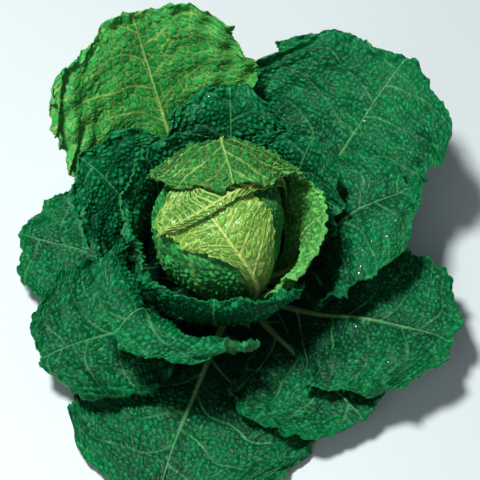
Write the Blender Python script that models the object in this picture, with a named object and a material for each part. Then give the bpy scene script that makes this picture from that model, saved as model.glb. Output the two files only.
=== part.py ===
"""Savoy cabbage: a round head in a rosette of waved, ribbed outer leaves.

Lengths below are in millimetres and turned into metres as the meshes are made.
The origin is the middle of the stem's cut face, +Z runs up the stem and +Y to
the back of the rosette.  Azimuths are in degrees from +X towards +Y.
"""
from math import cos, pi, radians, sin

import bpy
import numpy as np

MM = 0.001

# stem: a short cut stalk with a flat face to rest on
STEM_R = 22.0
STEM_TOP = 60.0
STEM_SIDES = 24
LEAF_GAP = 0.4
WRAP_GAP = 1.4

# heart: the dense ball of inner leaves, set a little off the stem's line
HEAD = np.array([-10.0, 6.0, 126.0])
HEART_R = 71.0
HEART_BASE = STEM_TOP + 0.3
HEART_SIDES = 36
HEART_RINGS = 20
LEVEL = {"front": 75.6, "fold": 80.6, "back": 86.0, "rim": 95.0}

# the heart and its two top leaves fall away steeply on this side
SQUEEZE_DIR = np.array([0.990, -0.109, -0.068])
SQUEEZE_FROM = 43.0
SQUEEZE_BY = 0.5
SQUEEZE_SOFT = 5.0

# leaf outline along the blade, v = 0 at the stem and 1 at the tip
SWELL = (0.05, 0.52)
TIP_NARROW = 0.30
SWEEP_UP, SWEEP_BACK = 0.22, 0.10

# blade and rib sections
BLADE = 1.3
RIB_WIDTH = 7.0
COLUMN_RIB = 0.07

# Each leaf: its centre line (azimuth, radius, height) round the stem, or for a
# leaf wrapped over the heart (azimuth, elevation) seen from the head's middle;
# then its half widths on either side, where along it each side starts to swell and
# over what share, how much the tip narrows, the stalk's half width, rib depth,
# margin wave and count, pleat and crumple heights, the lip turned down at the
# margin, rows and columns of the blade, and its colour.
LEAVES = [
    dict(name="leaf_heart_front", kind="wrap", level="front", foot=(-65, 57.2),
         path=[(-65, -42), (-65, 4), (-101, 60), (161, 56)],
         half=(56, 52), swell=((0.39, 0.60), SWELL), stalk=8, rib=1.0, wave=0.8, waves=5, pleat=0.7,
         crumple=0.4, lip=0.4, rows=14, cols=12, look="heart"),
    dict(name="leaf_heart_fold", kind="wrap", level="fold", foot=(26, 52.8),
         path=[(26, -45), (26, -5), (20, 38), (-10, 75), (229, 61), (206, 27)],
         half=(7, 44), stalk=7, rib=1.0, wave=0.6, waves=4, pleat=0.9,
         crumple=0.3, lip=0.0, rows=20, cols=8, look="heart"),
    dict(name="leaf_head_back", kind="wrap", level="back", foot=(90, 43.4),
         path=[(90, -45), (90, 5), (93, 50), (310, 81)],
         half=(92, 80), stalk=9, rib=1.6, wave=1.2, waves=5, pleat=1.0,
         crumple=0.5, lip=3.0, rows=14, cols=12, look="head"),
    dict(name="leaf_head_right", kind="bowl", shift=(-10, 6),
         path=[(2, 0, 38), (2, 44, 43), (2, 66, 64), (2, 76, 90),
               (2, 81, 112), (2, 90, 132), (2, 103, 150)],
         half=(88, 74), stalk=9, rib=2.0, wave=2.2, waves=4, pleat=1.9,
         crumple=1.2, lip=0.0, rows=14, cols=12, look="head"),
    dict(name="leaf_head_front", kind="wrap", level="rim", foot=(264, 33),
         path=[(264, -45), (264, -18), (264, 12)],
         half=(94, 96), stalk=9, rib=1.8, wave=2.0, waves=5, pleat=1.5,
         crumple=1.0, lip=0.0, rows=14, cols=12, look="outer"),
    dict(name="leaf_wrap_left", kind="bowl",
         path=[(142, 0, 37), (142, 52, 41), (142, 84, 64), (142, 99, 102),
               (142, 105, 136), (142, 118, 164)],
         half=(92, 92), stalk=10, rib=2.2, wave=2.6, waves=5, pleat=2.2,
         crumple=1.4, lip=0.0, rows=16, cols=14, look="outer"),
    dict(name="leaf_wrap_back_right", kind="bowl",
         path=[(52, 0, 33), (52, 50, 36), (52, 84, 60), (52, 106, 98),
               (52, 115, 126), (52, 129, 147)],
         half=(76, 76), stalk=10, rib=2.2, wave=2.4, waves=4, pleat=2.2,
         crumple=1.4, lip=0.0, rows=14, cols=10, look="outer"),
    dict(name="leaf_wrap_front_left", kind="bowl",
         path=[(222, 0, 28), (222, 52, 30), (222, 88, 46), (222, 109, 82),
               (222, 116, 108), (222, 130, 120), (222, 146, 115), (222, 158, 106)],
         half=(86, 114), stalk=11, rib=2.4, wave=3.2, waves=5, pleat=2.6,
         crumple=1.6, lip=0.0, rows=18, cols=14, look="outer"),
    dict(name="leaf_wrap_far_left", kind="bowl",
         path=[(153, 0, 22), (153, 56, 24), (153, 96, 42), (153, 120, 72),
               (153, 138, 102), (153, 158, 128), (153, 176, 144)],
         half=(94, 94), stalk=11, rib=2.4, wave=2.8, waves=5, pleat=2.6,
         crumple=1.6, lip=0.0, rows=16, cols=12, look="outer"),
    dict(name="leaf_wrap_right", kind="bowl",
         path=[(18, 0, 23), (18, 54, 27), (18, 92, 54), (18, 112, 86),
               (18, 134, 106), (18, 168, 117), (18, 190, 119)],
         half=(88, 82), swell=((0.0, 0.42), SWELL), stalk=11, rib=2.4, wave=3.0, waves=4, pleat=2.6,
         crumple=1.6, lip=0.0, rows=16, cols=12, look="outer"),
    dict(name="leaf_outer_back_left", kind="bowl",
         path=[(117, 0, 17.5), (117, 66, 19), (117, 114, 48), (117, 154, 100),
               (117, 194, 160), (117, 234, 218)],
         half=(110, 134), swell=((0.13, 0.54), (0.13, 0.54)), tip=0.12, stalk=12, rib=3.0,
         wave=4.5, waves=5, pleat=3.2, crumple=2.0, lip=0.0, rows=18, cols=14, look="bright"),
    dict(name="leaf_outer_back_right", kind="bowl",
         path=[(48, 0, 16.5), (48, 64, 17.5), (48, 112, 37), (48, 150, 70),
               (48, 195, 106), (48, 238, 138), (48, 270, 154)],
         half=(112, 148), tip=0.14, stalk=12, rib=3.0, wave=4.5, waves=5, pleat=3.2,
         crumple=2.0, lip=0.0, rows=18, cols=14, look="outer"),
    dict(name="leaf_outer_right", kind="bowl",
         path=[(-22, 0, 12.5), (-22, 66, 14), (-22, 110, 28), (-22, 150, 48),
               (-22, 195, 62), (-22, 238, 64)],
         half=(104, 98), stalk=12, rib=3.0, wave=4.5, waves=5, pleat=3.2,
         crumple=2.0, lip=0.0, rows=16, cols=12, look="outer"),
    dict(name="leaf_outer_front_right", kind="bowl",
         path=[(-52, 0, 8), (-52, 66, 10), (-52, 112, 19), (-52, 160, 31),
               (-52, 206, 36)],
         half=(96, 92), stalk=12, rib=3.0, wave=4.5, waves=5, pleat=3.2,
         crumple=2.0, lip=0.0, rows=16, cols=12, look="outer"),
    dict(name="leaf_outer_front", kind="bowl",
         path=[(251, 0, 3.8), (251, 70, 4.6), (251, 120, 7.5), (251, 180, 10),
               (252, 258, 9)],
         half=(138, 148), swell=(SWELL, (0.0, 0.40)), stalk=13, rib=2.4, wave=3.0, waves=5, pleat=2.6,
         crumple=1.6, lip=0.0, rows=18, cols=14, look="outer"),
    dict(name="leaf_outer_front_left", kind="bowl",
         path=[(206, 0, 9), (206, 70, 11), (206, 120, 24), (206, 170, 37),
               (206, 222, 42)],
         half=(98, 84), stalk=12, rib=3.0, wave=4.5, waves=5, pleat=3.2,
         crumple=2.0, lip=0.0, rows=16, cols=12, look="outer"),
    dict(name="leaf_outer_left", kind="bowl",
         path=[(166, 0, 4), (166, 70, 5.5), (166, 124, 14), (166, 180, 24),
               (166, 236, 32)],
         half=(94, 94), stalk=12, rib=2.4, wave=3.2, waves=5, pleat=2.4,
         crumple=1.6, lip=0.0, rows=14, cols=10, look="outer"),
    dict(name="leaf_wrap_back", kind="bowl",
         path=[(92, 0, 27.5), (92, 54, 31), (92, 92, 56), (92, 115, 92),
               (92, 127, 124), (92, 142, 148), (92, 158, 164)],
         half=(66, 84), stalk=10, rib=2.2, wave=2.6, waves=5, pleat=2.2,
         crumple=1.4, lip=0.0, rows=16, cols=12, look="outer"),
]

LOOKS = {
    "stem": (0.72, 0.76, 0.52),
    "heart": (0.42, 0.56, 0.13),
    "head": (0.07, 0.28, 0.06),
    "outer": (0.015, 0.13, 0.055),
    "bright": (0.045, 0.27, 0.07),
}


def smoothstep(lo, hi, x):
    """Rise from 0 at lo to 1 at hi without a corner."""
    t = np.clip((x - lo) / (hi - lo), 0.0, 1.0)
    return t * t * (3.0 - 2.0 * t)


def curve(points, count=600):
    """A smooth curve through the points, sampled evenly by chord length."""
    points = np.asarray(points, float)
    knots = np.concatenate([[0.0], np.cumsum(np.linalg.norm(np.diff(points, axis=0), axis=1))])
    slopes = np.gradient(points, knots, axis=0)
    t = np.linspace(0.0, knots[-1], count)
    i = np.clip(np.searchsorted(knots, t, side="right") - 1, 0, len(knots) - 2)
    span = (knots[i + 1] - knots[i])[:, None]
    f = (t - knots[i])[:, None] / span
    return ((2 * f**3 - 3 * f**2 + 1) * points[i] + (f**3 - 2 * f**2 + f) * span * slopes[i]
            + (3 * f**2 - 2 * f**3) * points[i + 1] + (f**3 - f**2) * span * slopes[i + 1])


def cylinder_point(azimuth, radius, height):
    a = radians(azimuth)
    return np.array([radius * cos(a), radius * sin(a), height])


def head_point(azimuth, elevation, radius):
    a, e = radians(azimuth), radians(elevation)
    return HEAD + radius * np.array([cos(a) * cos(e), sin(a) * cos(e), sin(e)])


def midrib(leaf):
    """The leaf's centre line from the stem to the tip, evenly spaced points."""
    foot_r = STEM_R + LEAF_GAP
    if leaf["kind"] == "wrap":
        level = LEVEL[leaf["level"]]
        points = [cylinder_point(leaf["foot"][0], foot_r + WRAP_GAP, leaf["foot"][1])]
        points += [head_point(a, e, level) for a, e in leaf["path"]]
        line = curve(points)
        away = line - HEAD
        first = np.linalg.norm(points[0] - HEAD)
        reach = np.linalg.norm(line - line[0], axis=1)
        radius = level + (first - level) * (1.0 - smoothstep(0.0, 40.0, reach))
        line = HEAD + away / np.linalg.norm(away, axis=1)[:, None] * radius[:, None]
    else:
        points = [cylinder_point(a, max(r, foot_r), z) for a, r, z in leaf["path"]]
        line = curve(points)
    steps = np.concatenate([[0.0], np.cumsum(np.linalg.norm(np.diff(line, axis=0), axis=1))])
    even = np.linspace(0.0, steps[-1], len(line))
    return np.stack([np.interp(even, steps, line[:, k]) for k in range(3)], axis=1), steps[-1]


def squeeze(points):
    """Flatten the heart's steep side; one map for all it holds, so nothing crosses."""
    q = (points - HEAD) @ SQUEEZE_DIR - SQUEEZE_FROM
    over = 0.5 * (np.sqrt(q * q + SQUEEZE_SOFT**2) + q)
    return points - over[..., None] * SQUEEZE_BY * SQUEEZE_DIR


def blade_grid(leaf, v, u, phase):
    """Arc length, sideways distance and height of the blade at (v, u)."""
    side = np.abs(u)
    left, right = leaf.get("swell", (SWELL, SWELL))
    swell = np.where(u < 0, (v - left[0]) / left[1], (v - right[0]) / right[1])
    swell = np.clip(swell, 0.0, 1.0)
    full = np.sin(0.5 * pi * swell) ** 1.4
    full = full * (1.0 - leaf.get("tip", TIP_NARROW) * np.clip((v - 0.5) / 0.5, 0.0, 1.0) ** 2)
    lobes = 1.0 + 0.05 * np.sin(2 * pi * 3.3 * v + phase + 1.7 * np.sign(u))
    lobes = lobes + 0.025 * np.cos(pi * leaf["rows"] * v)
    half = np.where(u < 0, leaf["half"][0], leaf["half"][1])
    width = leaf["stalk"] + (half - leaf["stalk"]) * full * lobes
    along = v + SWEEP_UP * side * np.sin(pi * v) * (1 - v) - SWEEP_BACK * side**2 * v**3
    along = along + 0.014 * v**4 * np.sin(9.0 * u + phase)

    grown = smoothstep(0.16, 0.55, v)
    rise = leaf["wave"] * grown * side**2.5 * np.sin(2 * pi * leaf["waves"] * v + phase * (1.5 + u))
    rise = rise + leaf["wave"] * v**5 * (1 - side) * np.sin(8.0 * u + phase)
    ribbed = 1.0 - (1.0 - side) ** 4
    rise = rise + leaf["pleat"] * grown * ribbed * np.cos(pi * leaf["rows"] * v)
    across = u * width
    rise = rise + leaf["crumple"] * grown * (np.sin(across / 9.0 + phase) * np.sin(14.0 * v + 2 * phase))
    rise = rise - leaf["lip"] * grown * smoothstep(0.7, 1.0, side)
    return along, across, rise, width


def leaf_surface(leaf, v, u, phase):
    """Middle surface points, unit normals (to the upper face) and blade width."""
    line, length = midrib(leaf)
    along, across, rise, width = blade_grid(leaf, v, u, phase)
    spot = np.clip(along, 0.0, 1.0) * (len(line) - 1)
    index = np.arange(len(line))
    tangent = np.gradient(line, axis=0)
    base = np.stack([np.interp(spot, index, line[:, k]) for k in range(3)], axis=-1)
    run = np.stack([np.interp(spot, index, tangent[:, k]) for k in range(3)], axis=-1)
    run = run / np.linalg.norm(run, axis=-1, keepdims=True)
    beyond = (along - np.clip(along, 0.0, 1.0)) * length
    if leaf["kind"] == "wrap":
        out = base - HEAD
        radius = np.linalg.norm(out, axis=-1, keepdims=True)
        out = out / radius
        sideways = np.cross(run, out)
        sideways = sideways / np.linalg.norm(sideways, axis=-1, keepdims=True)
        turn = (across / radius[..., 0])[..., None]
        normal = -(np.cos(turn) * out + np.sin(turn) * sideways)
        points = HEAD - normal * radius + run * beyond[..., None]
    else:
        radius = np.hypot(base[..., 0], base[..., 1])
        turn = across / radius
        c, s = np.cos(turn), np.sin(turn)

        def spin(a):
            x, y, z = a[..., 0], a[..., 1], a[..., 2]
            return np.stack([x * c - y * s, x * s + y * c, z], axis=-1)

        points = spin(base + run * beyond[..., None])
        moved = smoothstep(50.0, 110.0, points[..., 2])[..., None]
        points = points + moved * np.array([*leaf.get("shift", (0.0, 0.0)), 0.0])
        outward = np.stack([points[..., 0], points[..., 1], np.zeros_like(c)], axis=-1)
        outward = outward / np.linalg.norm(outward, axis=-1, keepdims=True)
        run = spin(run)
        flat = np.cross(np.array([0.0, 0.0, 1.0]), outward)
        normal = np.cross(run, flat)
        normal = normal / np.linalg.norm(normal, axis=-1, keepdims=True)
    return points + normal * rise[..., None], normal, width


def column_values(count):
    """Columns across the blade, two of them close to the rib."""
    each = count // 2
    outer = np.linspace(COLUMN_RIB, 1.0, each)
    return np.concatenate([-outer[::-1], [0.0], outer])


def leaf_mesh(leaf, phase):
    """Closed thin shell of a leaf: upper face, lower face with its rib, and the rim."""
    rows = np.linspace(0.0, 1.0, leaf["rows"] + 1)
    v, u = np.meshgrid(rows, column_values(leaf["cols"]), indexing="ij")
    points, normal, width = leaf_surface(leaf, v, u, phase)
    rib_half = np.maximum(RIB_WIDTH * (1.0 - 0.6 * v), COLUMN_RIB * width * 1.2)
    rib = leaf["rib"] * (0.65 + 1.4 * v - 1.9 * v * v) * np.clip(1.0 - np.abs(u * width) / rib_half, 0.0, 1.0)
    upper = points + normal * (0.5 * BLADE + 0.35 * rib)[..., None]
    lower = points - normal * (0.5 * BLADE + rib)[..., None]
    if leaf["look"] == "heart":
        upper, lower = squeeze(upper), squeeze(lower)
    m, n = v.shape
    verts = np.concatenate([upper.reshape(-1, 3), lower.reshape(-1, 3)]) * MM
    faces = []
    shift = m * n

    def at(i, j):
        return i * n + j

    for i in range(m - 1):
        for j in range(n - 1):
            a, b, c, d = at(i, j), at(i + 1, j), at(i + 1, j + 1), at(i, j + 1)
            if (i + (j if j < n // 2 else j + 1)) % 2:
                pair = [(a, b, c), (a, c, d)]
            else:
                pair = [(a, b, d), (b, c, d)]
            for p, q, r in pair:
                faces.append((p, q, r))
                faces.append((p + shift, r + shift, q + shift))
    ring = [at(0, j) for j in range(n)] + [at(i, n - 1) for i in range(1, m)]
    ring += [at(m - 1, j) for j in range(n - 2, -1, -1)] + [at(i, 0) for i in range(m - 2, 0, -1)]
    for p, q in zip(ring, ring[1:] + ring[:1]):
        faces.append((p, q, q + shift))
        faces.append((p, q + shift, p + shift))
    return verts, faces


def ringed_mesh(rings):
    """Closed mesh from stacked rings of points, with a fan at each end."""
    count = len(rings[0])
    verts = np.concatenate([*rings, [rings[0].mean(axis=0)], [rings[-1].mean(axis=0)]])
    low, high = len(rings) * count, len(rings) * count + 1
    faces = []
    for k in range(len(rings) - 1):
        for j in range(count):
            a, b = k * count + j, k * count + (j + 1) % count
            c, d = b + count, a + count
            faces += [(a, b, c), (a, c, d)] if (j + k) % 2 else [(a, b, d), (b, c, d)]
    top = (len(rings) - 1) * count
    for j in range(count):
        faces.append((low, (j + 1) % count, j))
        faces.append((high, top + j, top + (j + 1) % count))
    return verts * MM, faces


def stem_mesh():
    """The cut stalk: a flat foot, a slight waist and leaf scars round it."""
    rings = []
    for z, swell in ((0.0, -1.6), (1.6, -0.4), (20.0, -0.8), (38.0, -0.3), (STEM_TOP, 0.0)):
        angle = np.arange(STEM_SIDES) * 2 * pi / STEM_SIDES
        radius = STEM_R + swell
        level = np.full_like(angle, z)
        rings.append(np.stack([radius * np.cos(angle), radius * np.sin(angle), level], axis=1))
    return ringed_mesh(rings)


def heart_relief(out):
    """Height of the heart's leaf edges, ribs and pleats over its ball."""
    azimuth = np.arctan2(out[..., 1], out[..., 0])
    height = out[..., 2]
    fan = np.sin(9.0 * azimuth + 3.2 * height + 0.6 * np.sin(4.0 * azimuth))
    edge = smoothstep(-0.03, 0.03, out @ np.array([0.55, 0.20, 0.81]) - 0.10 - 0.05 * np.sin(7 * azimuth))
    return 1.0 * fan * (1.0 - height**4) - 1.8 * edge


def heart_mesh():
    """The dense ball, flat underneath where it meets the stem."""
    start = np.arccos((HEAD[2] - HEART_BASE) / HEART_R)
    rings = []
    for polar in np.linspace(start, pi - 0.09, HEART_RINGS):
        angle = np.arange(HEART_SIDES) * 2 * pi / HEART_SIDES
        out = np.stack([np.sin(polar) * np.cos(angle), np.sin(polar) * np.sin(angle),
                        np.full_like(angle, -np.cos(polar))], axis=1)
        relief = heart_relief(out) * float(smoothstep(start, start + 0.3, polar))
        ring = squeeze(HEAD + out * (HEART_R + relief)[:, None])
        if not rings:
            ring[:, 2] = HEART_BASE
        rings.append(ring)
    return ringed_mesh(rings)


def material(name, colour):
    mat = bpy.data.materials.new(name)
    mat.use_nodes = True
    shader = mat.node_tree.nodes["Principled BSDF"]
    shader.inputs["Base Color"].default_value = (*colour, 1.0)
    shader.inputs["Roughness"].default_value = 0.55
    return mat


def add_piece(collection, name, verts, faces, colour):
    mesh = bpy.data.meshes.new(name)
    mesh.from_pydata([tuple(p) for p in verts], [], faces)
    mesh.update()
    mesh.materials.append(material(name, colour))
    piece = bpy.data.objects.new(name, mesh)
    collection.objects.link(piece)


def main():
    for old in list(bpy.data.objects):
        bpy.data.objects.remove(old)
    collection = bpy.data.collections.new("savoy_cabbage")
    bpy.context.scene.collection.children.link(collection)
    add_piece(collection, "stem", *stem_mesh(), LOOKS["stem"])
    add_piece(collection, "heart", *heart_mesh(), LOOKS["head"])
    for number, leaf in enumerate(LEAVES):
        verts, faces = leaf_mesh(leaf, 1.3 + 2.4 * number)
        add_piece(collection, leaf["name"], verts, faces, LOOKS[leaf["look"]])


main()
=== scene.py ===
from math import cos, pi, radians, sin

import bpy
import numpy as np
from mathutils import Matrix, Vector


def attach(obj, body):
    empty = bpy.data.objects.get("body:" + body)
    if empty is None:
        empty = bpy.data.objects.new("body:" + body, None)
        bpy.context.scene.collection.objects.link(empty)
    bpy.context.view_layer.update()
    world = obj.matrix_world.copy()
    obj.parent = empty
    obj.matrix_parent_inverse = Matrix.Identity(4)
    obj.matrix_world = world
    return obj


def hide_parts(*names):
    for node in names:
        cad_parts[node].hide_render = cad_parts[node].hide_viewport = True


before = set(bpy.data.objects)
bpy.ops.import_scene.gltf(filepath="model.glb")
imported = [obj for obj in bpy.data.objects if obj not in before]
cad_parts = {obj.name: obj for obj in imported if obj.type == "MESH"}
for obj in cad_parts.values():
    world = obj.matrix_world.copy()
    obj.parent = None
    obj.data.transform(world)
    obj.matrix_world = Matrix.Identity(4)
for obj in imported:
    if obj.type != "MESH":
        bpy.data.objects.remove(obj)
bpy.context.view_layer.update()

# Looks of the savoy cabbage: fine blistered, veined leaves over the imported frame.
# Lengths are in millimetres until a mesh is made; lights, floor and camera in metres.
MM = 0.001

# stem: a short cut stalk with a flat face to rest on
STEM_R = 22.0
STEM_TOP = 60.0
LEAF_GAP = 0.4
WRAP_GAP = 1.4

# heart: the dense ball of inner leaves, set a little off the stem's line
HEAD = np.array([-10.0, 6.0, 126.0])
HEART_R = 71.0
HEART_BASE = STEM_TOP + 0.3
LEVEL = {"front": 75.6, "fold": 80.6, "back": 86.0, "rim": 95.0}

# the heart and its two top leaves fall away steeply on this side
SQUEEZE_DIR = np.array([0.990, -0.109, -0.068])
SQUEEZE_FROM = 43.0
SQUEEZE_BY = 0.5
SQUEEZE_SOFT = 5.0

# leaf outline along the blade, v = 0 at the stem and 1 at the tip
SWELL = (0.05, 0.52)
TIP_NARROW = 0.30
SWEEP_UP, SWEEP_BACK = 0.22, 0.10

# blade and rib sections
BLADE = 1.3
RIB_WIDTH = 7.0

# Each leaf: its centre line (azimuth, radius, height) round the stem, or for a
# leaf wrapped over the heart (azimuth, elevation) seen from the head's middle;
# then its half widths on either side, where along it each side starts to swell and
# over what share, how much the tip narrows, the stalk's half width, rib depth,
# margin wave and count, pleat and crumple heights, the lip turned down at the
# margin, rows of pleats along the blade, and its look.
LEAVES = [
    dict(name="leaf_heart_front", kind="wrap", level="front", foot=(-65, 57.2),
         path=[(-65, -42), (-65, 4), (-101, 60), (161, 56)],
         half=(56, 52), swell=((0.39, 0.60), SWELL), stalk=8, rib=1.0, wave=0.8, waves=5, pleat=0.7,
         crumple=0.4, lip=0.4, rows=14, look="heart"),
    dict(name="leaf_heart_fold", kind="wrap", level="fold", foot=(26, 52.8),
         path=[(26, -45), (26, -5), (20, 38), (-10, 75), (229, 61), (206, 27)],
         half=(7, 44), stalk=7, rib=1.0, wave=0.6, waves=4, pleat=0.9,
         crumple=0.3, lip=0.0, rows=20, look="heart"),
    dict(name="leaf_head_back", kind="wrap", level="back", foot=(90, 43.4),
         path=[(90, -45), (90, 5), (93, 50), (310, 81)],
         half=(92, 80), stalk=9, rib=1.6, wave=1.2, waves=5, pleat=1.0,
         crumple=0.5, lip=3.0, rows=14, look="head"),
    dict(name="leaf_head_right", kind="bowl", shift=(-10, 6),
         path=[(2, 0, 38), (2, 44, 43), (2, 66, 64), (2, 76, 90),
               (2, 81, 112), (2, 90, 132), (2, 103, 150)],
         half=(88, 74), stalk=9, rib=2.0, wave=2.2, waves=4, pleat=1.9,
         crumple=1.2, lip=0.0, rows=14, look="head"),
    dict(name="leaf_head_front", kind="wrap", level="rim", foot=(264, 33),
         path=[(264, -45), (264, -18), (264, 12)],
         half=(94, 96), stalk=9, rib=1.8, wave=2.0, waves=5, pleat=1.5,
         crumple=1.0, lip=0.0, rows=14, look="outer"),
    dict(name="leaf_wrap_left", kind="bowl",
         path=[(142, 0, 37), (142, 52, 41), (142, 84, 64), (142, 99, 102),
               (142, 105, 136), (142, 118, 164)],
         half=(92, 92), stalk=10, rib=2.2, wave=2.6, waves=5, pleat=2.2,
         crumple=1.4, lip=0.0, rows=16, look="outer"),
    dict(name="leaf_wrap_back_right", kind="bowl",
         path=[(52, 0, 33), (52, 50, 36), (52, 84, 60), (52, 106, 98),
               (52, 115, 126), (52, 129, 147)],
         half=(76, 76), stalk=10, rib=2.2, wave=2.4, waves=4, pleat=2.2,
         crumple=1.4, lip=0.0, rows=14, look="outer"),
    dict(name="leaf_wrap_front_left", kind="bowl",
         path=[(222, 0, 28), (222, 52, 30), (222, 88, 46), (222, 109, 82),
               (222, 116, 108), (222, 130, 120), (222, 146, 115), (222, 158, 106)],
         half=(86, 114), stalk=11, rib=2.4, wave=3.2, waves=5, pleat=2.6,
         crumple=1.6, lip=0.0, rows=18, look="outer"),
    dict(name="leaf_wrap_far_left", kind="bowl",
         path=[(153, 0, 22), (153, 56, 24), (153, 96, 42), (153, 120, 72),
               (153, 138, 102), (153, 158, 128), (153, 176, 144)],
         half=(94, 94), stalk=11, rib=2.4, wave=2.8, waves=5, pleat=2.6,
         crumple=1.6, lip=0.0, rows=16, look="outer"),
    dict(name="leaf_wrap_right", kind="bowl",
         path=[(18, 0, 23), (18, 54, 27), (18, 92, 54), (18, 112, 86),
               (18, 134, 106), (18, 168, 117), (18, 190, 119)],
         half=(88, 82), swell=((0.0, 0.42), SWELL), stalk=11, rib=2.4, wave=3.0, waves=4, pleat=2.6,
         crumple=1.6, lip=0.0, rows=16, look="outer"),
    dict(name="leaf_outer_back_left", kind="bowl",
         path=[(117, 0, 17.5), (117, 66, 19), (117, 114, 48), (117, 154, 100),
               (117, 194, 160), (117, 234, 218)],
         half=(110, 134), swell=((0.13, 0.54), (0.13, 0.54)), tip=0.12, stalk=12, rib=3.0,
         wave=4.5, waves=5, pleat=3.2, crumple=2.0, lip=0.0, rows=18, look="bright"),
    dict(name="leaf_outer_back_right", kind="bowl",
         path=[(48, 0, 16.5), (48, 64, 17.5), (48, 112, 37), (48, 150, 70),
               (48, 195, 106), (48, 238, 138), (48, 270, 154)],
         half=(112, 148), tip=0.14, stalk=12, rib=3.0, wave=4.5, waves=5, pleat=3.2,
         crumple=2.0, lip=0.0, rows=18, look="outer"),
    dict(name="leaf_outer_right", kind="bowl",
         path=[(-22, 0, 12.5), (-22, 66, 14), (-22, 110, 28), (-22, 150, 48),
               (-22, 195, 62), (-22, 238, 64)],
         half=(104, 98), stalk=12, rib=3.0, wave=4.5, waves=5, pleat=3.2,
         crumple=2.0, lip=0.0, rows=16, look="outer"),
    dict(name="leaf_outer_front_right", kind="bowl",
         path=[(-52, 0, 8), (-52, 66, 10), (-52, 112, 19), (-52, 160, 31),
               (-52, 206, 36)],
         half=(96, 92), stalk=12, rib=3.0, wave=4.5, waves=5, pleat=3.2,
         crumple=2.0, lip=0.0, rows=16, look="outer"),
    dict(name="leaf_outer_front", kind="bowl",
         path=[(251, 0, 3.8), (251, 70, 4.6), (251, 120, 7.5), (251, 180, 10),
               (252, 258, 9)],
         half=(138, 148), swell=(SWELL, (0.0, 0.40)), stalk=13, rib=2.4, wave=3.0, waves=5, pleat=2.6,
         crumple=1.6, lip=0.0, rows=18, look="outer"),
    dict(name="leaf_outer_front_left", kind="bowl",
         path=[(206, 0, 9), (206, 70, 11), (206, 120, 24), (206, 170, 37),
               (206, 222, 42)],
         half=(98, 84), stalk=12, rib=3.0, wave=4.5, waves=5, pleat=3.2,
         crumple=2.0, lip=0.0, rows=16, look="outer"),
    dict(name="leaf_outer_left", kind="bowl",
         path=[(166, 0, 4), (166, 70, 5.5), (166, 124, 14), (166, 180, 24),
               (166, 236, 32)],
         half=(94, 94), stalk=12, rib=2.4, wave=3.2, waves=5, pleat=2.4,
         crumple=1.6, lip=0.0, rows=14, look="outer"),
    dict(name="leaf_wrap_back", kind="bowl",
         path=[(92, 0, 27.5), (92, 54, 31), (92, 92, 56), (92, 115, 92),
               (92, 127, 124), (92, 142, 148), (92, 158, 164)],
         half=(66, 84), stalk=10, rib=2.2, wave=2.6, waves=5, pleat=2.2,
         crumple=1.4, lip=0.0, rows=16, look="outer"),
]

# each leaf in turn: phase of its waves, the solids' own, and seed of its fine pattern
PHASE_START, PHASE_STEP = 1.3, 2.4
SEED_START, SEED_STEP = 3, 11

# fine mesh: spacing of its points, closer together on the leaves of the head
SPACING = 1.3
FINER = {"heart": 0.7, "head": 0.74, "outer": 1.0, "bright": 1.0}

# Relief of each look: width and height of the blisters and of the small bumps on them,
# height of the veins, frill of the margin, pitch of the side veins along the rib, and
# how strongly the fine net and the coarse web of veins show.  Some also give the slant
# of the side veins, the height of broad swells, and what share of the rib's and of the
# blade's brightness is left near the stem: painted shade over the foot of the outer leaves.
RELIEF = {
    "heart": dict(cell=8.5, bulge=1.5, small=3.2, pucker=0.45, cord=0.8, frill=1.6,
                  pitch=24.0, net=0.55, web=0.95),
    "bold": dict(cell=8.6, bulge=3.6, small=3.4, pucker=1.5, cord=1.6, frill=3.6,
                 pitch=27.0, net=0.3, web=0.4, slant=1.9),
    "head": dict(cell=6.6, bulge=2.5, small=3.0, pucker=1.0, cord=0.5, frill=3.4,
                 pitch=26.0, net=0.12, web=0.3),
    "outer": dict(cell=6.0, bulge=2.3, small=3.1, pucker=1.3, cord=0.4, frill=5.0,
                  pitch=42.0, net=0.08, web=0.75, broad=3.2, foot=0.25, inner=0.2),
    "bright": dict(cell=9.0, bulge=1.3, small=4.0, pucker=0.7, cord=0.4, frill=3.6,
                   pitch=34.0, net=0.42, web=0.85),
}
# leaves whose relief differs from the rest of their look
OWN_RELIEF = {"leaf_head_back": "bold"}
# how far a cell's middle lies off its row, and a row bends aside over a length
JITTER = 0.42
BEND, BEND_SPAN = 4.6, 19.0
# share of the blade over which blisters and frill come in
BLISTERED = (0.10, 0.42)
# half width of the rib at the tip, and what it gains towards the stem
RIB_TIP, RIB_GAIN = 0.9, 4.6
# half width of a side vein at the margin, what it gains towards the rib, and of its fork
VEIN_TIP, VEIN_GAIN, FORK_HALF = 0.5, 1.0, 0.8
# how far from a side vein and from the rib the blisters reach their full height
CLEAR_OF_VEIN, CLEAR_OF_RIB = 7.0, 9.0
# side veins: slant against the rib, how far they wander and over what length
SLANT = 0.75
WANDER, WANDER_SPAN = 0.12, 24.0
# width of the meshes in the coarse web of veins, and length of a vein's fainter stretch
WEB = 23.0
FAINT_SPAN = 13.0
# close cross pleats of the folded leaf: pitch and height
FOLD_PITCH, FOLD_PLEAT = 9.5, 1.5
# the broad pleats are softer here, where the veins and blisters carry the relief
PLEAT_KEPT = 0.4
# lengths of the margin's frills, of its notches with their depth, of the broad swells
# and of the lighter and darker patches
FRILL_SPANS = (11.0, 5.0)
NOTCH_SPANS, NOTCH = (7.0, 3.2), 2.4
BROAD_SPAN = 26.0
DRIFT_SPAN = 38.0
# long ridges of the ball under the head's leaves: number, turn round the ball, height
RIDGES, RIDGE_TURN, BALL_RIDGE = 9.0, 3.2, 1.6
# stem: points round it, and how far its foot is rounded off
STEM_POINTS = 120
STEM_ROUNDING = 1.6
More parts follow.
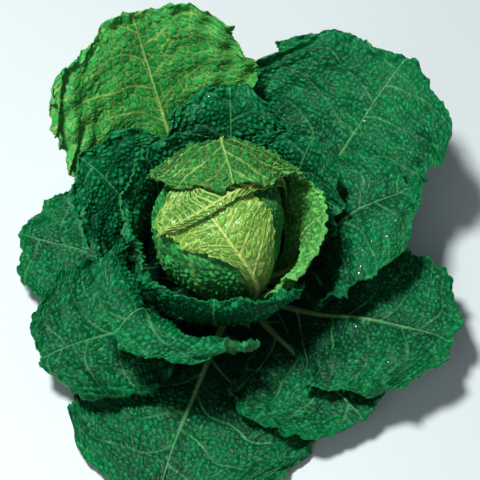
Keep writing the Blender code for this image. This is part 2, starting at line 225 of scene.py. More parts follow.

# sRGB colours: hollow, crown of a blister, vein. The dark hollow colour is painted shade in the creases
# between blisters; the light crown colour is partly the tops' own waxy bloom and partly painted light on
# them
PAINT = {
    "heart": ((44, 118, 34), (142, 190, 78), (214, 226, 126)),
    "fold": ((28, 102, 30), (122, 182, 74), (208, 224, 122)),
    "head": ((0, 50, 22), (64, 164, 66), (156, 204, 104)),
    "cover": ((0, 38, 18), (52, 150, 64), (166, 212, 110)),
    # lit: the head's paint made lighter, painted light on the right-hand head leaf
    "lit": ((20, 96, 40), (112, 206, 100), (186, 226, 132)),
    "deep": ((0, 62, 32), (64, 182, 88), (124, 190, 98)),
    "outer": ((0, 34, 23), (10, 136, 76), (88, 184, 112)),
    # bright: partly the back-left leaf's own lighter green, partly painted light for the light shining
    # through it
    "bright": ((4, 100, 40), (50, 166, 76), (176, 214, 108)),
    "stem": ((96, 142, 66), (144, 182, 98), (206, 222, 160)),
}
UNDERSIDE = (84, 164, 96)
PALE_RIB = (170, 206, 116)
FLOOR_PAINT = (212, 222, 226)
# leaves whose paint differs from the rest of their look; the right-hand head leaf takes the lit paint, a
# lighter copy of the head's, painted light on it
OWN_PAINT = {"leaf_heart_fold": "fold", "leaf_head_right": "lit", "leaf_head_back": "cover"}
# share of the crown colour that comes with a blister's height and with its tint, less
# this much everywhere, and how much the flecks change it; the height's share is the
# painted light on the blister tops and the painted shade in their hollows
CROWN_SHARE, TINT_SHARE, HOLLOW_SHARE, FLECK_SHARE = 0.95, 0.42, 0.12, 0.45
# how far the margin takes on the light crown colour, a painted highlight along the edge, and how far the
# underside and the veins take on their own colour
RIM_PULL, UNDER_PULL = 0.25, 0.32
VEIN_PULL = {"heart": 0.85, "fold": 0.85, "head": 0.6, "lit": 0.6, "cover": 0.8, "deep": 0.5,
             "outer": 0.6, "bright": 0.8, "stem": 0.4}
# pale tone of the stalk, then of the rib, in most paints and where they differ; on the outer leaves the pale
# stalk is left out and the rib dimmed, painted shade over their stalks deep under the head
PALE_PULL = (0.3, 0.5)
OWN_PALE_PULL = {"outer": (0.0, 0.18), "deep": (0.1, 0.3)}
# paints of a waxy gloss, with their roughness and reflection, and those of the rest
WAXY = ("heart", "fold")
WAXY_GLOSS, PLAIN_GLOSS = (0.14, 0.42), (0.24, 0.16)
SHEEN = (0.6, 1.0, 0.7, 1.0)
# features per metre in the material
FLECKS, WAX, BEADS, GRAIN, SOFT_GRAIN = 650.0, 180.0, 420.0, 900.0, 320.0
# dew: drops per metre, patches of it per metre, where a patch starts, each drop's soft
# edge, its gloss and its height in the bump
DEW, DEW_PATCHES, DEWY_FROM, DROP_EDGE = 150.0, 60.0, 0.52, (0.08, 0.24)
DEW_COAT, DEW_ROUGHNESS, DEW_HEIGHT = 0.9, 0.06, 2.6
# bump: strength, and depth in metres
BUMP_STRENGTH, BUMP_DEPTH = 0.5, 0.0007

# lights in metres: place, what they face, size, power and colour
LIGHTS = {
    "key": ((-0.54, 0.05, 1.97), (0.0, 0.0, 0.08), 0.30, 50.0, (1.0, 0.99, 0.95)),
    "fill": ((-0.5, -1.5, 1.6), (0.0, 0.0, 0.05), 1.2, 7.0, (0.96, 0.98, 1.0)),
}
SKY, SKY_STRENGTH = (0.80, 0.88, 0.95, 1.0), 0.13
FLOOR_SIZE, FLOOR_DROP, FLOOR_ROUGHNESS = 12.0, 0.0005, 0.6

# camera: a little under a metre and a half away, looking down at the head, and wide
# enough for half the frame to be this many metres in the plane a little before AIM
LIFT = radians(58.0)
AIM = Vector((0.005, 0.0019, 0.110))
AWAY = 1.45
HALF_FRAME, FRAME_BEFORE = 0.240, 0.0114


def smoothstep(lo, hi, x):
    """Rise from 0 at lo to 1 at hi without a corner."""
    t = np.clip((x - lo) / (hi - lo), 0.0, 1.0)
    return t * t * (3.0 - 2.0 * t)


def curve(points, count=600):
    """A smooth curve through the points, sampled evenly by chord length."""
    points = np.asarray(points, float)
    knots = np.concatenate([[0.0], np.cumsum(np.linalg.norm(np.diff(points, axis=0), axis=1))])
    slopes = np.gradient(points, knots, axis=0)
    t = np.linspace(0.0, knots[-1], count)
    i = np.clip(np.searchsorted(knots, t, side="right") - 1, 0, len(knots) - 2)
    span = (knots[i + 1] - knots[i])[:, None]
    f = (t - knots[i])[:, None] / span
    return ((2 * f**3 - 3 * f**2 + 1) * points[i] + (f**3 - 2 * f**2 + f) * span * slopes[i]
            + (3 * f**2 - 2 * f**3) * points[i + 1] + (f**3 - f**2) * span * slopes[i + 1])


def cylinder_point(azimuth, radius, height):
    a = radians(azimuth)
    return np.array([radius * cos(a), radius * sin(a), height])


def head_point(azimuth, elevation, radius):
    a, e = radians(azimuth), radians(elevation)
    return HEAD + radius * np.array([cos(a) * cos(e), sin(a) * cos(e), sin(e)])


def midrib(leaf):
    """The leaf's centre line from the stem to the tip, evenly spaced points."""
    foot_r = STEM_R + LEAF_GAP
    if leaf["kind"] == "wrap":
        level = LEVEL[leaf["level"]]
        points = [cylinder_point(leaf["foot"][0], foot_r + WRAP_GAP, leaf["foot"][1])]
        points += [head_point(a, e, level) for a, e in leaf["path"]]
        line = curve(points)
        away = line - HEAD
        first = np.linalg.norm(points[0] - HEAD)
        reach = np.linalg.norm(line - line[0], axis=1)
        radius = level + (first - level) * (1.0 - smoothstep(0.0, 40.0, reach))
        line = HEAD + away / np.linalg.norm(away, axis=1)[:, None] * radius[:, None]
    else:
        points = [cylinder_point(a, max(r, foot_r), z) for a, r, z in leaf["path"]]
        line = curve(points)
    steps = np.concatenate([[0.0], np.cumsum(np.linalg.norm(np.diff(line, axis=0), axis=1))])
    even = np.linspace(0.0, steps[-1], len(line))
    return np.stack([np.interp(even, steps, line[:, k]) for k in range(3)], axis=1), steps[-1]


def squeeze(points):
    """Flatten the heart's steep side; one map for all it holds, so nothing crosses."""
    q = (points - HEAD) @ SQUEEZE_DIR - SQUEEZE_FROM
    over = 0.5 * (np.sqrt(q * q + SQUEEZE_SOFT**2) + q)
    return points - over[..., None] * SQUEEZE_BY * SQUEEZE_DIR


def blade_grid(leaf, v, u, phase):
    """Arc length, sideways distance and height of the blade at (v, u)."""
    side = np.abs(u)
    left, right = leaf.get("swell", (SWELL, SWELL))
    swell = np.where(u < 0, (v - left[0]) / left[1], (v - right[0]) / right[1])
    swell = np.clip(swell, 0.0, 1.0)
    full = np.sin(0.5 * pi * swell) ** 1.4
    full = full * (1.0 - leaf.get("tip", TIP_NARROW) * np.clip((v - 0.5) / 0.5, 0.0, 1.0) ** 2)
    lobes = 1.0 + 0.05 * np.sin(2 * pi * 3.3 * v + phase + 1.7 * np.sign(u))
    lobes = lobes + 0.025 * np.cos(pi * leaf["rows"] * v)
    half = np.where(u < 0, leaf["half"][0], leaf["half"][1])
    width = leaf["stalk"] + (half - leaf["stalk"]) * full * lobes
    along = v + SWEEP_UP * side * np.sin(pi * v) * (1 - v) - SWEEP_BACK * side**2 * v**3
    along = along + 0.014 * v**4 * np.sin(9.0 * u + phase)

    grown = smoothstep(0.16, 0.55, v)
    rise = leaf["wave"] * grown * side**2.5 * np.sin(2 * pi * leaf["waves"] * v + phase * (1.5 + u))
    rise = rise + leaf["wave"] * v**5 * (1 - side) * np.sin(8.0 * u + phase)
    ribbed = 1.0 - (1.0 - side) ** 4
    rise = rise + leaf["pleat"] * grown * ribbed * np.cos(pi * leaf["rows"] * v)
    across = u * width
    rise = rise + leaf["crumple"] * grown * (np.sin(across / 9.0 + phase) * np.sin(14.0 * v + 2 * phase))
    rise = rise - leaf["lip"] * grown * smoothstep(0.7, 1.0, side)
    return along, across, rise, width


def leaf_surface(leaf, v, u, phase):
    """Middle surface points, unit normals (to the upper face) and blade width."""
    line, length = midrib(leaf)
    along, across, rise, width = blade_grid(leaf, v, u, phase)
    spot = np.clip(along, 0.0, 1.0) * (len(line) - 1)
    index = np.arange(len(line))
    tangent = np.gradient(line, axis=0)
    base = np.stack([np.interp(spot, index, line[:, k]) for k in range(3)], axis=-1)
    run = np.stack([np.interp(spot, index, tangent[:, k]) for k in range(3)], axis=-1)
    run = run / np.linalg.norm(run, axis=-1, keepdims=True)
    beyond = (along - np.clip(along, 0.0, 1.0)) * length
    if leaf["kind"] == "wrap":
        out = base - HEAD
        radius = np.linalg.norm(out, axis=-1, keepdims=True)
        out = out / radius
        sideways = np.cross(run, out)
        sideways = sideways / np.linalg.norm(sideways, axis=-1, keepdims=True)
        turn = (across / radius[..., 0])[..., None]
        normal = -(np.cos(turn) * out + np.sin(turn) * sideways)
        points = HEAD - normal * radius + run * beyond[..., None]
    else:
        radius = np.hypot(base[..., 0], base[..., 1])
        turn = across / radius
        c, s = np.cos(turn), np.sin(turn)

        def spin(a):
            x, y, z = a[..., 0], a[..., 1], a[..., 2]
            return np.stack([x * c - y * s, x * s + y * c, z], axis=-1)

        points = spin(base + run * beyond[..., None])
        moved = smoothstep(50.0, 110.0, points[..., 2])[..., None]
        points = points + moved * np.array([*leaf.get("shift", (0.0, 0.0)), 0.0])
        outward = np.stack([points[..., 0], points[..., 1], np.zeros_like(c)], axis=-1)
        outward = outward / np.linalg.norm(outward, axis=-1, keepdims=True)
        run = spin(run)
        flat = np.cross(np.array([0.0, 0.0, 1.0]), outward)
        normal = np.cross(run, flat)
        normal = normal / np.linalg.norm(normal, axis=-1, keepdims=True)
    return points + normal * rise[..., None], normal, width


def heart_relief(out):
    """Height of the heart's leaf edges, ribs and pleats over its ball."""
    azimuth = np.arctan2(out[..., 1], out[..., 0])
    height = out[..., 2]
    fan = np.sin(RIDGES * azimuth + RIDGE_TURN * height + 0.6 * np.sin(4.0 * azimuth))
    edge = smoothstep(-0.03, 0.03, out @ np.array([0.55, 0.20, 0.81]) - 0.10 - 0.05 * np.sin(7 * azimuth))
    return fan * (1.0 - height**4) - 1.8 * edge


def chance(x, y, seed):
    """Repeatable value from 0 to 1 for each whole (x, y)."""
    return np.modf(np.abs(np.sin(x * 127.1 + y * 311.7 + seed * 74.7) * 43758.5453))[0]


def ripple(x, y, seed):
    """Smooth noise from -1 to 1 with features about 1 unit wide."""
    ix, iy = np.floor(x), np.floor(y)
    fx, fy = x - ix, y - iy
    fx, fy = fx * fx * (3 - 2 * fx), fy * fy * (3 - 2 * fy)
    low = chance(ix, iy, seed) * (1 - fx) + chance(ix + 1, iy, seed) * fx
    high = chance(ix, iy + 1, seed) * (1 - fx) + chance(ix + 1, iy + 1, seed) * fx
    return 2.0 * (low * (1 - fy) + high * fy) - 1.0


def cells(x, y, size, seed):
    """Distances to the nearest and second nearest cell middle, and the cell's own value."""
    gx, gy = x / size, y / size
    ix, iy = np.floor(gx), np.floor(gy)
    near = np.full(gx.shape, 9.0)
    second = np.full(gx.shape, 9.0)
    own = np.zeros(gx.shape)
    for dx in (-1, 0, 1):
        for dy in (-1, 0, 1):
            cx, cy = ix + dx, iy + dy
            px = cx + 0.5 + JITTER * (2 * chance(cx, cy, seed) - 1)
            py = cy + 0.5 + JITTER * (2 * chance(cx, cy, seed + 5) - 1)
            d = np.hypot(px - gx, py - gy)
            closer = d < near
            second = np.where(closer, near, np.minimum(second, d))
            own = np.where(closer, chance(cx, cy, seed + 9), own)
            near = np.where(closer, d, near)
    return near, second, own


def blister_field(x, y, relief, seed):
    """Blisters and small bumps from 0 to 1, the fine net, the coarse web, and a tint per cell."""
    wx = x + BEND * ripple(x / BEND_SPAN, y / BEND_SPAN, seed)
    wy = y + BEND * ripple(x / BEND_SPAN, y / BEND_SPAN, seed + 3)
    near, second, own = cells(wx, wy, relief["cell"], seed)
    gap = (second - near) * relief["cell"]
    dome = smoothstep(0.0, 0.62 * relief["cell"], gap) * (0.55 + 0.65 * own)
    net = 1.0 - smoothstep(0.3, 1.5, gap)
    near2, second2, own2 = cells(wx, wy, relief["small"], seed + 21)
    small = smoothstep(0.0, 0.6, second2 - near2)
    near3, second3, own3 = cells(wx + 2 * x / 9, wy, WEB, seed + 33)
    web = 1.0 - smoothstep(0.25, 0.9, (second3 - near3) * WEB)
    return dome, small, net, web, 0.5 * own + 0.3 * own2 + 0.2 * own3


def side_veins(leaf, relief, v, u, across, down, seed):
    """Place along the series of side veins, and distances to a vein and to its fork."""
    pitch = FOLD_PITCH if leaf["name"] == "leaf_heart_fold" else relief["pitch"]
    slant = relief.get("slant", SLANT)
    apart = pitch / np.hypot(1.0, slant)
    spread = slant * np.abs(across) ** 0.93 * (1.0 - 0.25 * v)
    stagger = 0.5 * (u > 0)
    wander = WANDER * ripple(across / WANDER_SPAN, down / WANDER_SPAN, seed + 40)
    run = (down - spread) / pitch + wander + stagger
    to_vein = np.abs(run - np.round(run)) * apart
    to_fork = np.abs(run + 0.5 - np.round(run + 0.5)) * apart
    return run, to_vein, to_fork


def kept_under_stem_shade(share, v, lo, hi):
    """What is left of a brightness under painted shade near the stem: the share near the stem, all of it
    past hi.
    """
    return share + (1.0 - share) * smoothstep(lo, hi, v)


def leaf_detail(leaf, v, u, length, across, seed):
    """Relief and tone of a blade, each an array over its points (v, u), by name."""
    relief = RELIEF[OWN_RELIEF.get(leaf["name"], leaf["look"])]
    side = np.abs(u)
    down = v * length
    dome, small, net, web, tint = blister_field(across, down, relief, seed)
    grown = smoothstep(*BLISTERED, v)
    rib_half = RIB_TIP + RIB_GAIN * (1.0 - v) ** 1.8
    middle = 1.0 - smoothstep(0.5, 1.0, np.abs(across) / rib_half)

    run, to_vein, to_fork = side_veins(leaf, relief, v, u, across, down, seed)
    vein_half = VEIN_TIP + VEIN_GAIN * (1.0 - side) ** 1.5 * (1.0 - 0.6 * v)
    second = (1.0 - smoothstep(0.6, 1.25, to_vein / vein_half)) * smoothstep(0.06, 0.2, v)
    forked = (1.0 - smoothstep(0.5, 1.3, to_fork / FORK_HALF)) * smoothstep(0.35, 0.6, side)
    faint = 0.55 + 0.45 * ripple(across / FAINT_SPAN, down / FAINT_SPAN, seed + 44)
    # painted shade: near the stem of the outer leaves the midrib's pale tone is dimmed
    rib_under_painted_shade = kept_under_stem_shade(relief.get("foot", 1.0), v, 0.22, 0.45)
    veins = np.maximum(middle * (0.75 + 0.25 * faint) * rib_under_painted_shade,
                       np.maximum(0.9 * second, 0.6 * forked) * faint)

    away = smoothstep(0.0, CLEAR_OF_VEIN, to_vein)
    away = away * smoothstep(0.0, CLEAR_OF_RIB, np.abs(across) - 0.7 * rib_half)
    bulge = (relief["bulge"] * dome * (0.35 + 0.65 * away)
             + relief["pucker"] * small * (0.4 + 0.6 * away))
    # painted shade: the outer leaves' blister light and tint are darkened towards the stem
    inner = kept_under_stem_shade(relief.get("inner", 1.0), v, 0.25, 0.7)
    # crown: painted light on the blister tops, falling to painted shade in the hollows and along veins and
    # rib
    crown = dome * (0.55 + 0.45 * small) * (0.4 + 0.6 * away) * inner
    if leaf["name"] == "leaf_heart_fold":
        between = np.sin(pi * run) ** 2
        bulge = 0.3 * bulge + FOLD_PLEAT * (1.0 - between) * (1.0 - middle)
        crown = crown * (1.0 - 0.7 * between)
    cords = middle * 1.2 + 0.8 * second + 0.3 * forked

    # rim: the margin; its frill is real relief, and the paint pulls it to the crown colour as a painted
    # highlight
    rim = np.maximum(smoothstep(0.82, 1.0, side), smoothstep(0.9, 1.0, v)) * grown
    long, short = FRILL_SPANS
    frill = relief["frill"] * rim * (ripple(across / long, down / long, seed + 60)
                                     + 0.5 * ripple(across / short, down / short, seed + 61))
    broad = relief.get("broad", 0.0) * ripple(across / BROAD_SPAN, down / BROAD_SPAN, seed + 70)
    drift = 0.5 + 0.5 * ripple(across / DRIFT_SPAN, down / DRIFT_SPAN, seed + 80)
    return {
        "height": grown * (bulge - 0.6 * web) + relief["cord"] * cords,
        "frill": frill + broad * grown * (0.3 + 0.7 * side),
        "vein": np.maximum(veins, grown * np.maximum(relief["net"] * net, relief["web"] * web * faint)),
        "crown": crown,
        "tint": (0.4 * tint + 0.6 * drift) * inner,
        "rim": rim,
        "middle": middle,
    }


def fill_mesh(name, verts, quads, tris, layers, paint):
    """One object from points in millimetres, faces, a value of each layer per point, and a paint."""
    mesh = bpy.data.meshes.new(name)
    mesh.vertices.add(len(verts))
    mesh.vertices.foreach_set("co", (verts * MM).ravel())
    loops = np.concatenate([quads.ravel(), tris.ravel()])
    starts = np.concatenate([np.arange(len(quads)) * 4, len(quads) * 4 + np.arange(len(tris)) * 3])
    mesh.loops.add(len(loops))
    mesh.loops.foreach_set("vertex_index", loops)
    mesh.polygons.add(len(starts))
    mesh.polygons.foreach_set("loop_start", starts)
    mesh.polygons.foreach_set("use_smooth", np.ones(len(starts), bool))
    for key, values in layers.items():
        layer = mesh.attributes.new(key, "FLOAT", "POINT")
        layer.data.foreach_set("value", values.astype(np.float32).ravel())
    mesh.materials.append(paint)
    mesh.update()
    mesh.validate()
    piece = bpy.data.objects.new(name, mesh)
    bpy.context.collection.objects.link(piece)
    return piece


def shell_faces(m, n):
    """Quads of a closed shell made of two m by n grids."""
    at = np.arange(m * n).reshape(m, n)
    a, b, c, d = at[:-1, :-1], at[1:, :-1], at[1:, 1:], at[:-1, 1:]
    top = np.stack([a, b, c, d], axis=-1).reshape(-1, 4)
    low = np.stack([a, d, c, b], axis=-1).reshape(-1, 4) + m * n
    ring = np.concatenate([at[0, :], at[1:, -1], at[-1, -2::-1], at[-2:0:-1, 0]])
    after = np.roll(ring, -1)
    rim = np.stack([ring, after, after + m * n, ring + m * n], axis=-1)
    return np.concatenate([top, low, rim])


def unit(vectors):
    return vectors / np.linalg.norm(vectors, axis=-1, keepdims=True)


def fine_grid(leaf, length):
    """Values of v and u at the points of the fine mesh, closer together than the solid's."""
    pitch = SPACING * FINER[leaf["look"]]
    m = int(length / pitch)
    n = int(sum(leaf["half"]) * 1.02 / pitch)
    reach = leaf["half"][0] / sum(leaf["half"])
    columns = np.concatenate([np.linspace(-1, 0, max(int(n * reach), 4), endpoint=False),
                              np.linspace(0, 1, max(int(n * (1 - reach)), 4) + 1)])
    return np.meshgrid(np.linspace(0, 1, m), columns, indexing="ij")


def notched(points, v, u, length, across, seed):
    """The points with small notches cut in at both sides and at the tip."""
    long, short = NOTCH_SPANS
    edge = smoothstep(0.86, 1.0, np.abs(u)) * smoothstep(0.2, 0.4, v)
    notch = ripple(v * length / long, u, seed) + 0.6 * ripple(v * length / short, u, seed + 1)
    points = points + unit(np.gradient(points, axis=1)) * (NOTCH * edge * notch * np.sign(u))[..., None]
    tip = smoothstep(0.92, 1.0, v)
    notch = ripple(across / long, v, seed + 2) + 0.6 * ripple(across / short, v, seed + 3)
    return points + unit(np.gradient(points, axis=0)) * (NOTCH * tip * notch)[..., None]


def fine_leaf(leaf, phase, seed, paint):
    """Closed fine mesh of a leaf over its solid, with the layers its paint reads."""
    length = midrib(leaf)[1]
    v, u = fine_grid(leaf, length)
    points, normal, width = leaf_surface({**leaf, "pleat": PLEAT_KEPT * leaf["pleat"]}, v, u, phase)
    across = u * width
    detail = leaf_detail(leaf, v, u, length, across, seed)
    outward = -1.0 if leaf["kind"] == "wrap" else 1.0
    points = points + normal * (outward * detail["height"] + detail["frill"])[..., None]
    points = notched(points, v, u, length, across, seed + 90)

    rib_half = RIB_WIDTH * (1.0 - 0.6 * v)
    rib = leaf["rib"] * (0.65 + 1.4 * v - 1.9 * v * v)
    rib = rib * (1.0 - smoothstep(0.0, 1.0, np.abs(across) / rib_half))
    upper = points + normal * (0.5 * BLADE + 0.35 * rib)[..., None]
    lower = points - normal * (0.5 * BLADE + rib)[..., None]
    if leaf["look"] == "heart":
        upper, lower = squeeze(upper), squeeze(lower)
    verts = np.concatenate([upper.reshape(-1, 3), lower.reshape(-1, 3)])

    below = 0.0 if leaf["kind"] == "wrap" else 1.0
    vein, middle = detail["vein"], detail["middle"]
    both = {
        "crown": detail["crown"],
        "tint": detail["tint"],
        "rim": detail["rim"],
        "stalk": 1.0 - smoothstep(0.03, 0.16, v),
        "rib": middle * (1.0 - smoothstep(0.2, 0.9, v)),
    }
    layers = {key: np.concatenate([values.ravel()] * 2) for key, values in both.items()}
    layers["under"] = np.repeat([0.0, below], v.size)
    layers["vein"] = np.concatenate([vein.ravel(), np.maximum(vein, below * middle).ravel()])
    no_tris = np.zeros((0, 3), int)
    return fill_mesh("look_" + leaf["name"], verts, shell_faces(*v.shape), no_tris, layers, paint)


def rings_piece(name, rings, layers, paint):
    """Closed piece from stacked rings (rows, around, 3), with a fan at each end."""
    m, n = rings.shape[:2]
    at = np.arange(m * n).reshape(m, n)
    nxt = np.roll(at, -1, axis=1)
    quads = np.stack([at[:-1], nxt[:-1], nxt[1:], at[1:]], axis=-1).reshape(-1, 4)
    low, high = m * n, m * n + 1
    tris = np.concatenate([np.stack([np.full(n, low), nxt[0], at[0]], axis=-1),
                           np.stack([np.full(n, high), at[-1], nxt[-1]], axis=-1)])
    verts = np.concatenate([rings.reshape(-1, 3), [rings[0].mean(axis=0)], [rings[-1].mean(axis=0)]])
    full = {key: np.zeros((m, n)) for key in ("vein", "rim", "stalk", "under", "rib")}
    full.update(layers)
    full = {key: np.concatenate([a.ravel(), [a[0].mean(), a[-1].mean()]]) for key, a in full.items()}
    return fill_mesh(name, verts, quads, tris, full, paint)


def fine_heart(paint):
    """The ball, blistered, with long pale ridges fanning up from its foot."""
    relief = RELIEF["head"]
    start = np.arccos((HEAD[2] - HEART_BASE) / HEART_R)
    around = int(2 * pi * HEART_R / SPACING)
    polar, angle = np.meshgrid(np.linspace(start, pi - 0.05, int(HEART_R * 2.6 / SPACING)),
                               np.arange(around) * 2 * pi / around, indexing="ij")
    out = np.stack([np.sin(polar) * np.cos(angle), np.sin(polar) * np.sin(angle), -np.cos(polar)], axis=-1)
    turned = np.where(angle > pi, angle - 2 * pi, angle)
    x, y = turned * HEART_R * np.sin(polar), polar * HEART_R
    dome, small, net, _, tint = blister_field(x + 400, y, relief, 7)
    near = smoothstep(start, start + 0.3, polar)
    turns = (RIDGES * angle + RIDGE_TURN * out[..., 2]) / (2 * pi) + 8.0
    fan = np.abs(np.modf(turns)[0] - 0.25)
    streak = 1.0 - smoothstep(0.02, 0.09, fan)
    ridge = 1.0 - smoothstep(0.02, 0.2, fan)
    bumps = heart_relief(out) + (relief["bulge"] * dome + relief["pucker"] * small) * (1.0 - 0.7 * ridge)
    bumps = bumps + BALL_RIDGE * ridge
    rings = squeeze(HEAD + out * (HEART_R + near * bumps)[..., None])
    rings[0, :, 2] = HEART_BASE
    # crown: painted light on the ball's blister tops, painted shade in their hollows
    layers = {"vein": np.maximum(0.7 * streak, 0.3 * net), "crown": dome * (0.5 + 0.5 * small), "tint": tint}
    return rings_piece("look_heart", rings, layers, paint)


def fine_stem(paint):
    """The cut stalk with its fibres, its foot slightly rounded off."""
    angle = np.arange(STEM_POINTS) * 2 * pi / STEM_POINTS
    foot = [0.0, 0.4, 1.0, STEM_ROUNDING]
    heights = np.concatenate([foot, np.linspace(3.0, STEM_TOP - 1.0, 40), [STEM_TOP]])
    rings = []
    for z in heights:
        taper = 1.2 * float(smoothstep(0.0, STEM_ROUNDING, z)) + 0.4 * float(smoothstep(20.0, STEM_TOP, z))
        fibre = 0.25 * np.sin(17 * angle + 0.05 * z) + 0.2 * np.sin(31 * angle + 1.3) - 0.3
        radius = STEM_R - STEM_ROUNDING + taper + fibre * (z > 0)
        level = np.full(STEM_POINTS, z)
        rings.append(np.stack([radius * np.cos(angle), radius * np.sin(angle), level], axis=1))
    rings = np.array(rings)
    layers = {"crown": np.full(rings.shape[:2], 0.5),
              "tint": 0.5 + 0.4 * ripple(rings[..., 0] / 4, rings[..., 2] / 12, 3)}
    return rings_piece("look_stem", rings, layers, paint)


def srgb(values):
    """Linear colour with full opacity from sRGB values of 0 to 255."""
    return tuple(((x / 255 + 0.055) / 1.055) ** 2.4 if x > 10 else x / 255 / 12.92 for x in values) + (1.0,)


class Paint:
    """A material under construction, with short calls for the nodes it needs."""

    def __init__(self, name):
        self.mat = bpy.data.materials.new(name)
        self.mat.use_nodes = True
        self.nodes = self.mat.node_tree.nodes
        self.shader = self.nodes["Principled BSDF"]
        self.place = self.nodes.new("ShaderNodeTexCoord").outputs["Object"]

    def link(self, source, socket):
        self.mat.node_tree.links.new(source, socket)

    def put(self, socket, value):
        """Link an output into the socket, or set a plain value on it."""
        if isinstance(value, bpy.types.NodeSocket):
            self.link(value, socket)
        else:
            socket.default_value = value

    def layer(self, key):
        node = self.nodes.new("ShaderNodeAttribute")
        node.attribute_name = key
        return node.outputs["Fac"]

    def blend(self, fac, a, b):
        node = self.nodes.new("ShaderNodeMix")
        node.data_type = "RGBA"
        for socket, value in ((node.inputs[0], fac), (node.inputs[6], a), (node.inputs[7], b)):
            self.put(socket, value)
        return node.outputs[2]

    def math(self, kind, a, b, clamp=False):
        node = self.nodes.new("ShaderNodeMath")
        node.operation = kind
        node.use_clamp = clamp
        for socket, value in zip(node.inputs, (a, b)):
            self.put(socket, value)
        return node.outputs[0]

    def noise(self, scale, detail=4.0):
        node = self.nodes.new("ShaderNodeTexNoise")
        node.inputs["Scale"].default_value = scale
        node.inputs["Detail"].default_value = detail
        self.link(self.place, node.inputs["Vector"])
        return node.outputs["Fac"]

    def spots(self, scale):
        node = self.nodes.new("ShaderNodeTexVoronoi")
        node.inputs["Scale"].default_value = scale
        self.link(self.place, node.inputs["Vector"])
        return node.outputs["Distance"]


def leaf_material(look):
    """Blister, vein and rib colours from the mesh's layers, with gloss, dew and fine grain; blister tops get
    painted light, hollows painted shade, and the margin a painted highlight.
    """
    paint = Paint(look)
    math, blend, layer, put = paint.math, paint.blend, paint.layer, paint.put
    inputs = paint.shader.inputs

    hollow, crown, vein = (srgb(c) for c in PAINT[look])
    # mix from hollow to crown colour: painted light and shade of the blisters, with random tint and flecks
    shade = math("ADD", math("MULTIPLY", layer("crown"), CROWN_SHARE),
                 math("MULTIPLY", layer("tint"), TINT_SHARE))
    shade = math("SUBTRACT", shade, HOLLOW_SHARE)
    fleck = math("SUBTRACT", paint.noise(FLECKS), 0.5)
    shade = math("ADD", shade, math("MULTIPLY", fleck, FLECK_SHARE), clamp=True)
    stalk_pull, rib_pull = OWN_PALE_PULL.get(look, PALE_PULL)
    colour = blend(shade, hollow, crown)
    # the margin pulled to the crown colour is a painted highlight; underside, veins, stalk and rib take
    # their own colours
    for key, pull, tone in (("rim", RIM_PULL, crown),
                            ("under", UNDER_PULL, srgb(UNDERSIDE)),
                            ("vein", VEIN_PULL[look], vein),
                            ("stalk", stalk_pull, srgb(PAINT["stem"][1])),
                            ("rib", rib_pull, srgb(PALE_RIB))):
        colour = blend(math("MULTIPLY", layer(key), pull), colour, tone)
    put(inputs["Base Color"], colour)

    roughness, reflection = WAXY_GLOSS if look in WAXY else PLAIN_GLOSS
    put(inputs["Roughness"], math("ADD", math("MULTIPLY", paint.noise(WAX), 0.25), roughness))
    put(inputs["Specular IOR Level"], reflection)
    put(inputs["Specular Tint"], SHEEN)

    drop = paint.nodes.new("ShaderNodeMapRange")
    drop.interpolation_type = "SMOOTHERSTEP"
    for socket, value in zip(drop.inputs, (paint.spots(DEW), *DROP_EDGE, 1.0, 0.0)):
        put(socket, value)
    dewy = math("GREATER_THAN", paint.noise(DEW_PATCHES, 1.0), DEWY_FROM)
    wet = math("MULTIPLY", drop.outputs["Result"], dewy)
    put(inputs["Coat Weight"], math("MULTIPLY", wet, DEW_COAT))
    put(inputs["Coat Roughness"], DEW_ROUGHNESS)

    rough = math("ADD", math("MULTIPLY", paint.noise(GRAIN, 3.0), 0.6), paint.noise(SOFT_GRAIN, 2.0))
    rough = math("SUBTRACT", rough, math("MULTIPLY", paint.spots(BEADS), 0.7))
    bump = paint.nodes.new("ShaderNodeBump")
    put(bump.inputs["Strength"], BUMP_STRENGTH)
    put(bump.inputs["Distance"], BUMP_DEPTH)
    put(bump.inputs["Height"], math("ADD", rough, math("MULTIPLY", wet, DEW_HEIGHT)))
    put(inputs["Normal"], bump.outputs["Normal"])
    return paint.mat


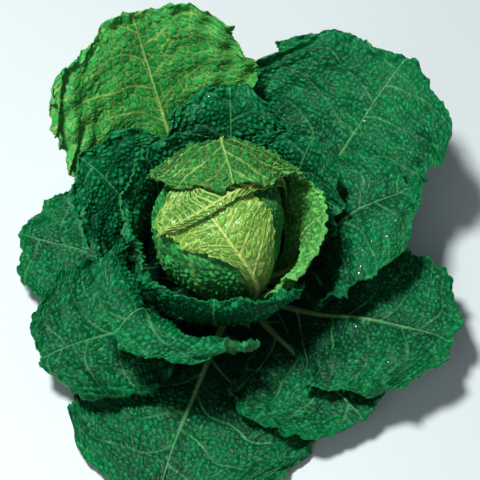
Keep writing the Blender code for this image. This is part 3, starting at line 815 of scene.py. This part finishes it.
def plain_material(name, colour, roughness):
    mat = bpy.data.materials.new(name)
    mat.use_nodes = True
    tree = mat.node_tree
    shader = tree.nodes["Principled BSDF"]
    noise = tree.nodes.new("ShaderNodeTexNoise")
    noise.inputs["Scale"].default_value = 30.0
    mix = tree.nodes.new("ShaderNodeMix")
    mix.data_type = "RGBA"
    mix.inputs[6].default_value = srgb(colour)
    mix.inputs[7].default_value = srgb(tuple(c - 6 for c in colour))
    tree.links.new(noise.outputs["Fac"], mix.inputs[0])
    tree.links.new(mix.outputs[2], shader.inputs["Base Color"])
    shader.inputs["Roughness"].default_value = roughness
    return mat


def add_light(name, place, aim, size, power, colour):
    lamp = bpy.data.lights.new(name, "AREA")
    lamp.size = size
    lamp.energy = power
    lamp.color = colour
    holder = bpy.data.objects.new(name, lamp)
    holder.location = place
    holder.rotation_euler = (Vector(aim) - Vector(place)).to_track_quat("-Z", "Y").to_euler()
    bpy.context.collection.objects.link(holder)


def add_sky():
    world = bpy.data.worlds.new("studio")
    world.use_nodes = True
    backdrop = world.node_tree.nodes["Background"]
    backdrop.inputs["Color"].default_value = SKY
    backdrop.inputs["Strength"].default_value = SKY_STRENGTH
    bpy.context.scene.world = world


def add_camera():
    camera = bpy.data.objects.new("camera", bpy.data.cameras.new("camera"))
    camera.location = AIM + AWAY * Vector((0.0, -cos(LIFT), sin(LIFT)))
    camera.rotation_euler = (pi / 2 - LIFT, 0.0, 0.0)
    camera.data.angle = 2 * np.arctan(HALF_FRAME / (AWAY - FRAME_BEFORE))
    bpy.context.collection.objects.link(camera)
    bpy.context.scene.camera = camera


paints = {look: leaf_material(look) for look in PAINT}
for number, leaf in enumerate(LEAVES):
    paint = paints[OWN_PAINT.get(leaf["name"], leaf["look"])]
    phase = PHASE_START + PHASE_STEP * number
    piece = fine_leaf(leaf, phase, SEED_START + SEED_STEP * number, paint)
    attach(piece, "root")
    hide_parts(leaf["name"])
for piece, node, slot in ((fine_heart(paints["deep"]), "heart", "head_leaf"),
                          (fine_stem(paints["stem"]), "stem", "stem")):
    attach(piece, "root")
    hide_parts(node)

bpy.ops.mesh.primitive_plane_add(size=FLOOR_SIZE, location=(0, 0, -FLOOR_DROP))
floor = bpy.context.object
floor.name = "floor"
floor.data.materials.append(plain_material("floor", FLOOR_PAINT, FLOOR_ROUGHNESS))

for name, settings in LIGHTS.items():
    add_light(name, *settings)
add_sky()
add_camera()
bpy.context.scene.view_settings.view_transform = "Standard"
